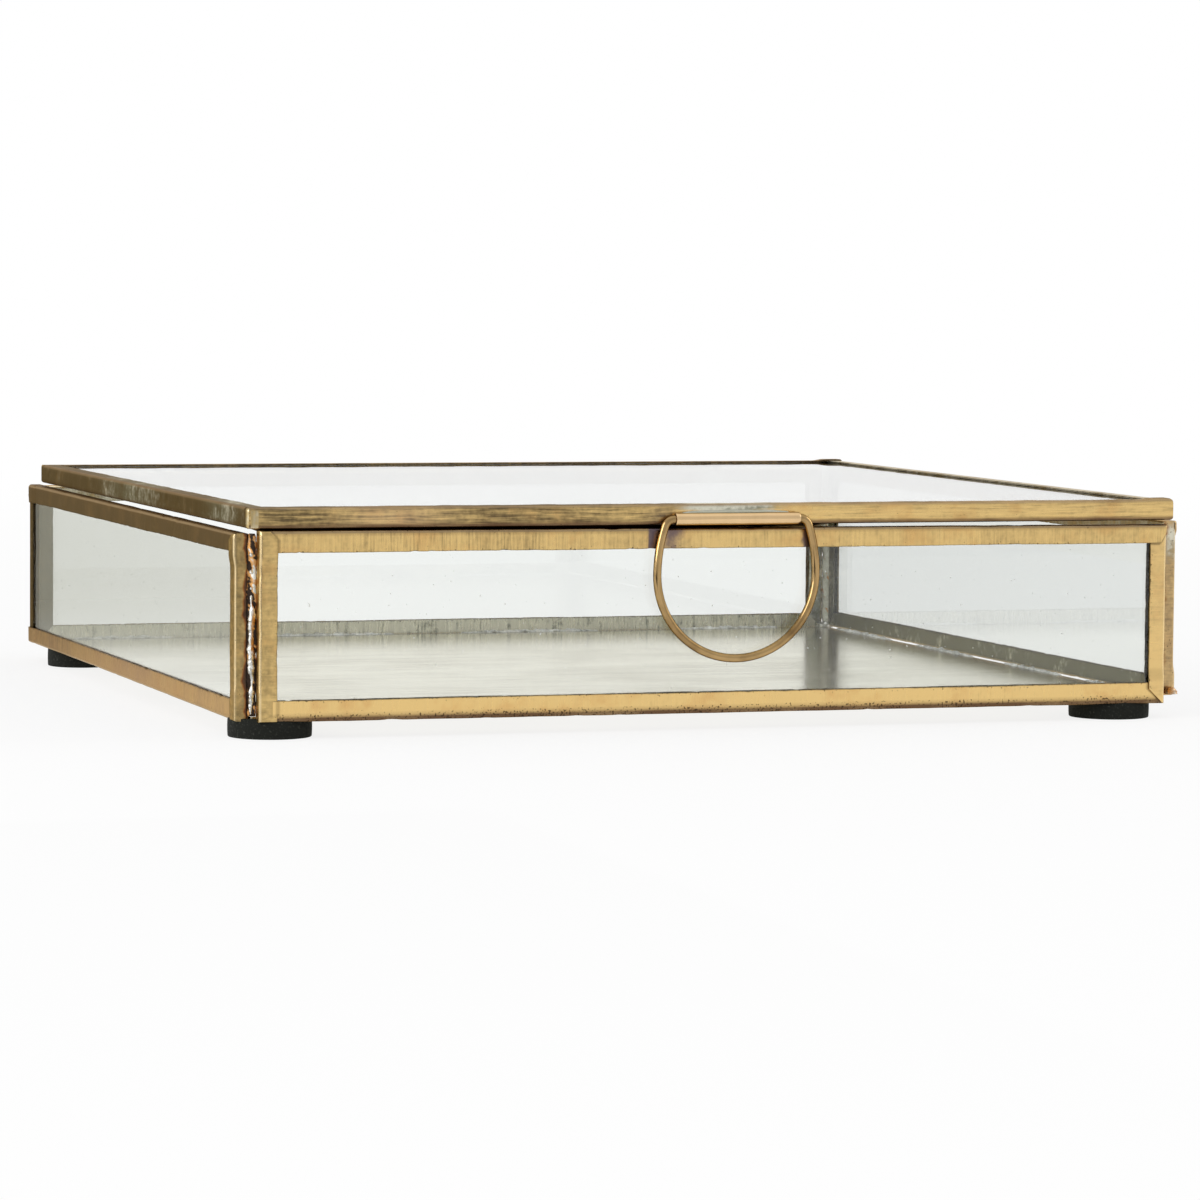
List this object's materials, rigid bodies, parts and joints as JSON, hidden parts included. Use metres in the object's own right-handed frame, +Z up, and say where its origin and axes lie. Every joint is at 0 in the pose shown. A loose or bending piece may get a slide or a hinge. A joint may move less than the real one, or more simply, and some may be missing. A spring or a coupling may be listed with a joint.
{
  "type": "glass napkin box",
  "caption": "Low square box of clear glass panes edged in folded brass strip, with a brass floor, a hinged glass lid, a wire ring pull and round foam feet, for folded paper napkins.",
  "frame": {"origin": "middle of the box's square footprint, on the surface that the feet stand on", "axes": "+X to the right along the front, +Y from the ring pull to the hinge, +Z up"},
  "size_m": [0.1801, 0.1822, 0.0406],
  "materials": {
    "wall_glass": "clear polished sheet",
    "lid_glass": "clear polished sheet",
    "strip_brass": "antique patina, brushed across",
    "wire_brass": "antique patina, drawn",
    "floor_brass": "pale rolled sheet",
    "solder": "dull tin solder",
    "foam": "matt black foam"
  },
  "bodies": {
    "tray": {"back_bottom_strip": "strip_brass", "back_left_foot": "foam", "back_left_seam": "solder", "back_left_strip": "strip_brass", "back_pane": "wall_glass", "back_right_foot": "foam", "back_right_seam": "solder", "back_right_strip": "strip_brass", "back_top_strip": "strip_brass", "floor_plate": "floor_brass", "floor_solder": "solder", "front_bottom_strip": "strip_brass", "front_left_foot": "foam", "front_left_seam": "solder", "front_left_strip": "strip_brass", "front_pane": "wall_glass", "front_right_foot": "foam", "front_right_seam": "solder", "front_right_strip": "strip_brass", "front_top_strip": "strip_brass", "hinge_pin_left": "wire_brass", "hinge_pin_right": "wire_brass", "hinge_pin_solder": "solder", "left_back_strip": "strip_brass", "left_bottom_strip": "strip_brass", "left_front_strip": "strip_brass", "left_pane": "wall_glass", "left_top_strip": "strip_brass", "right_back_strip": "strip_brass", "right_bottom_strip": "strip_brass", "right_front_strip": "strip_brass", "right_pane": "wall_glass", "right_top_strip": "strip_brass"},
    "lid": {"hinge_tube": "wire_brass", "hinge_tube_solder": "solder", "lid_back_strip": "strip_brass", "lid_front_strip": "strip_brass", "lid_left_strip": "strip_brass", "lid_pane": "lid_glass", "lid_right_strip": "strip_brass", "pull_sleeve": "wire_brass", "pull_sleeve_solder": "solder"},
    "pull": {"pull_ring": "wire_brass"}
  },
  "joints": [
    {"name": "lid_hinge", "type": "hinge", "parent": "tray", "child": "lid", "pos_m": [0, 0.0838, 0.0378], "axis": [-1, 0, 0], "range_deg": [0, 115]},
    {"name": "pull_swing", "type": "hinge", "parent": "lid", "child": "pull", "pos_m": [0.0015, -0.0911, 0.038], "axis": [-1, 0, 0], "range_deg": [0, 182]}
  ]
}
